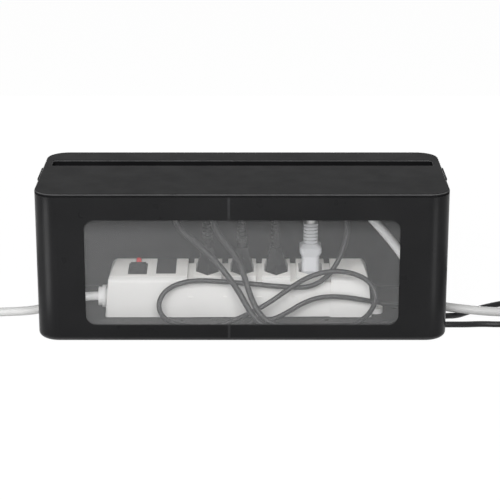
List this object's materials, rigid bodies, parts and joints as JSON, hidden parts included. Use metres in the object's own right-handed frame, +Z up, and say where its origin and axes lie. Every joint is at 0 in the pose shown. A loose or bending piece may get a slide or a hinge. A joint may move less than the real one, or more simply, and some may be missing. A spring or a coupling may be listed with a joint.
{
  "type": "cable organizer box",
  "caption": "Lidded box with a see-through front that hides a power strip with its plugs and cords; lift-off lid with a tablet groove, end openings for cords.",
  "frame": {"origin": "on the table under the middle of the box", "axes": "+X along the box to the viewer's right, +Y to the rear, +Z up"},
  "size_m": [0.8558, 0.2098, 0.15],
  "materials": {
    "black_abs": "satin, fine grain",
    "milky_pane": "clear with a milky grey haze",
    "foot_rubber": "matt",
    "strip_white": "semi-gloss",
    "socket_black": "matt",
    "brass": "drawn",
    "dark_plastic": "semi-gloss",
    "button_red": "gloss",
    "screw_steel": "plated",
    "white_vinyl": "satin",
    "black_vinyl": "satin",
    "pin_metal": "nickel plated",
    "tie_black": "matt"
  },
  "bodies": {
    "base": {"base_tub": "black_abs", "window_pane": "milky_pane", "rubber_feet": "foot_rubber", "strip_base": "strip_white", "strip_cover": "strip_white", "socket_plates": "socket_black", "busbar_live": "brass", "busbar_neutral": "brass", "busbar_earth": "brass", "switch_body": "dark_plastic", "breaker_body": "dark_plastic", "blank_module": "dark_plastic", "strip_screws": "screw_steel", "strip_gland": "white_vinyl", "plug_1": "black_vinyl", "plug_2": "black_vinyl", "plug_3": "black_vinyl", "plug_4": "white_vinyl", "plug_1_pins": "pin_metal", "plug_2_pins": "pin_metal", "plug_3_pins": "pin_metal", "plug_4_pins": "pin_metal", "cord_1": "black_vinyl", "cord_1_coil": "black_vinyl", "cord_1_tie": "tie_black", "cord_1_connector": "black_vinyl", "cord_2": "black_vinyl", "cord_2_coil": "black_vinyl", "cord_2_tie": "tie_black", "cord_2_connector": "black_vinyl", "cord_3": "black_vinyl", "cord_3_coil": "black_vinyl", "cord_3_tie": "tie_black", "cord_3_connector": "black_vinyl", "cord_4": "white_vinyl", "cord_4_coil": "white_vinyl", "cord_4_tie": "tie_black", "cord_4_connector": "white_vinyl", "mains_lead": "white_vinyl", "mains_lead_coil": "white_vinyl", "mains_lead_tie": "tie_black", "mains_plug": "white_vinyl", "mains_plug_pins": "pin_metal"},
    "lid": {"lid": "black_abs"},
    "rocker": {"rocker": "dark_plastic"},
    "reset_button": {"reset_button": "button_red"}
  },
  "joints": [
    {"name": "lid_lift", "type": "slide", "parent": "base", "child": "lid", "axis": [0, 0, 1], "range_m": [0, 0.06]},
    {"name": "rocker_tilt", "type": "hinge", "parent": "base", "child": "rocker", "pos_m": [-0.1056, 0.00276, 0.04552], "axis": [-1, 0, 0], "range_deg": [0, 16]},
    {"name": "button_press", "type": "slide", "parent": "base", "child": "reset_button", "axis": [0, 0.0872, -0.9962], "range_m": [0, 0.0015], "stiffness_N_per_m": 300}
  ]
}
